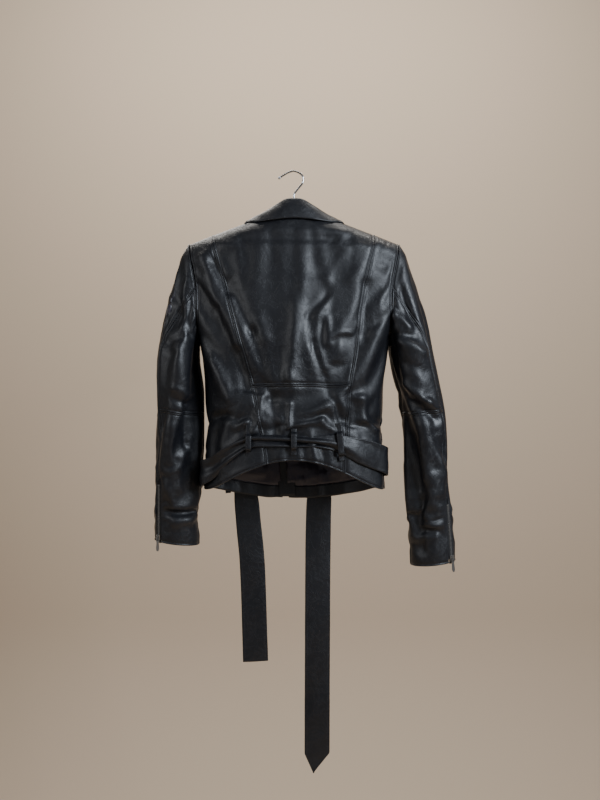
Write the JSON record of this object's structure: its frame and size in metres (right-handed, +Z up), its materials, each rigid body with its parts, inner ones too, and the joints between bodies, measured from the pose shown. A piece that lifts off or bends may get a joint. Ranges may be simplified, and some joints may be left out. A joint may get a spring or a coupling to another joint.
{
  "type": "leather riding jacket on a hanger",
  "caption": "Cropped leather riding jacket with princess seams, cuff, pocket and front zips and a self belt, hung on the hanger that keeps its shape.",
  "frame": {"origin": "seat of the hanger's hook, the inside of its top, where it rests on a rail or nail", "axes": "+Z up; the wearer would face -Y, so +Y is the back of the jacket and +X the wearer's left"},
  "size_m": [0.582, 0.1746, 1.1855],
  "materials": {
    "leather": "soft, lightly glossed, fine grain",
    "lining": "satin weave",
    "zip_tape": "woven tape with metal teeth",
    "hardware": "polished",
    "hook_wire": "polished wire",
    "hanger_wood": "dark varnish"
  },
  "bodies": {
    "hook": {"hanger_hook": "hook_wire"},
    "jacket": {"back_centre_panel": "leather", "back_side_panel_left": "leather", "back_side_panel_right": "leather", "back_waist_panel": "leather", "belt": "leather", "belt_loop_back_centre": "leather", "belt_loop_back_left": "leather", "belt_loop_back_right": "leather", "belt_loop_front_left": "leather", "belt_loop_front_right": "leather", "collar_fall": "leather", "collar_stand": "leather", "front_panel_left": "leather", "front_panel_right": "leather", "front_side_panel_left": "leather", "front_side_panel_right": "leather", "front_zip_box": "hardware", "front_zip_fly": "leather", "front_zip_side_left": "zip_tape", "front_zip_side_right": "zip_tape", "hanger_bar": "hanger_wood", "hanger_ferrule": "hardware", "hanging_loop": "leather", "hem_facing_back": "leather", "hem_facing_front_left": "leather", "hem_facing_front_right": "leather", "lapel_left": "leather", "lapel_right": "leather", "lapel_stud_left": "hardware", "lapel_stud_right": "hardware", "lining_back": "lining", "lining_front_left": "lining", "lining_front_right": "lining", "pocket_welt_left": "leather", "pocket_welt_right": "leather", "pocket_zip_chain_left": "zip_tape", "pocket_zip_chain_right": "zip_tape"},
    "sleeve_left": {"cuff_zip_chain_left": "zip_tape", "sleeve_back_panel_left": "leather", "sleeve_forearm_panel_left": "leather", "sleeve_front_panel_left": "leather", "sleeve_lining_left": "lining", "sleeve_outer_panel_left": "leather"},
    "sleeve_right": {"cuff_zip_chain_right": "zip_tape", "sleeve_back_panel_right": "leather", "sleeve_forearm_panel_right": "leather", "sleeve_front_panel_right": "leather", "sleeve_lining_right": "lining", "sleeve_outer_panel_right": "leather"},
    "cuff_zip_slider_left": {"cuff_zip_slider_left": "hardware"},
    "cuff_zip_slider_right": {"cuff_zip_slider_right": "hardware"},
    "front_zip_slider": {"front_zip_slider": "hardware"},
    "pocket_zip_slider_left": {"pocket_zip_slider_left": "hardware"},
    "pocket_zip_slider_right": {"pocket_zip_slider_right": "hardware"},
    "cuff_zip_pull_left": {"cuff_zip_pull_left": "hardware"},
    "cuff_zip_pull_right": {"cuff_zip_pull_right": "hardware"},
    "front_zip_pull": {"front_zip_pull": "hardware"},
    "pocket_zip_pull_left": {"pocket_zip_pull_left": "hardware"},
    "pocket_zip_pull_right": {"pocket_zip_pull_right": "hardware"}
  },
  "joints": [
    {"name": "hook_swivel", "type": "hinge", "parent": "hook", "child": "jacket", "pos_m": [0, 0, -0.064], "axis": [0, 0, 1], "continuous": true},
    {"name": "sleeve_left_swing", "type": "hinge", "parent": "jacket", "child": "sleeve_left", "pos_m": [0.198, 0, -0.139], "axis": [0, -1, 0], "range_deg": [0, 35]},
    {"name": "sleeve_right_swing", "type": "hinge", "parent": "jacket", "child": "sleeve_right", "pos_m": [-0.198, 0, -0.139], "axis": [0, 1, 0], "range_deg": [0, 35]},
    {"name": "cuff_zip_left_slide", "type": "slide", "parent": "sleeve_left", "child": "cuff_zip_slider_left", "axis": [-0.0269, 0.1336, 0.9907], "range_m": [0, 0.09]},
    {"name": "cuff_zip_pull_left_hinge", "type": "hinge", "parent": "cuff_zip_slider_left", "child": "cuff_zip_pull_left", "pos_m": [0.2603, -0.00427, -0.69491], "axis": [0.8522, -0.515, 0.0926], "range_deg": [0, 150]},
    {"name": "cuff_zip_right_slide", "type": "slide", "parent": "sleeve_right", "child": "cuff_zip_slider_right", "axis": [0.0856, 0.0755, 0.9935], "range_m": [0, 0.09]},
    {"name": "cuff_zip_pull_right_hinge", "type": "hinge", "parent": "cuff_zip_slider_right", "child": "cuff_zip_pull_right", "pos_m": [-0.29968, 0.00719, -0.7316], "axis": [0.8546, 0.5071, -0.1121], "range_deg": [0, 150]},
    {"name": "front_zip_slide", "type": "slide", "parent": "jacket", "child": "front_zip_slider", "axis": [-0.0767, -0.0279, -0.9967], "range_m": [0, 0.25]},
    {"name": "front_zip_pull_hinge", "type": "hinge", "parent": "front_zip_slider", "child": "front_zip_pull", "pos_m": [0.03893, -0.06626, -0.34887], "axis": [-0.9971, 0, 0.0767], "range_deg": [0, 150]},
    {"name": "pocket_zip_left_slide", "type": "slide", "parent": "jacket", "child": "pocket_zip_slider_left", "axis": [-0.1177, -0.0526, -0.9917], "range_m": [0, 0.095]},
    {"name": "pocket_zip_pull_left_hinge", "type": "hinge", "parent": "pocket_zip_slider_left", "child": "pocket_zip_pull_left", "pos_m": [0.10367, -0.0602, -0.45483], "axis": [-0.9643, -0.2325, 0.1267], "range_deg": [0, 150]},
    {"name": "pocket_zip_right_slide", "type": "slide", "parent": "jacket", "child": "pocket_zip_slider_right", "axis": [0.1177, -0.0526, -0.9917], "range_m": [0, 0.095]},
    {"name": "pocket_zip_pull_right_hinge", "type": "hinge", "parent": "pocket_zip_slider_right", "child": "pocket_zip_pull_right", "pos_m": [-0.10367, -0.0602, -0.45483], "axis": [-0.9643, 0.2325, -0.1267], "range_deg": [0, 150]}
  ]
}
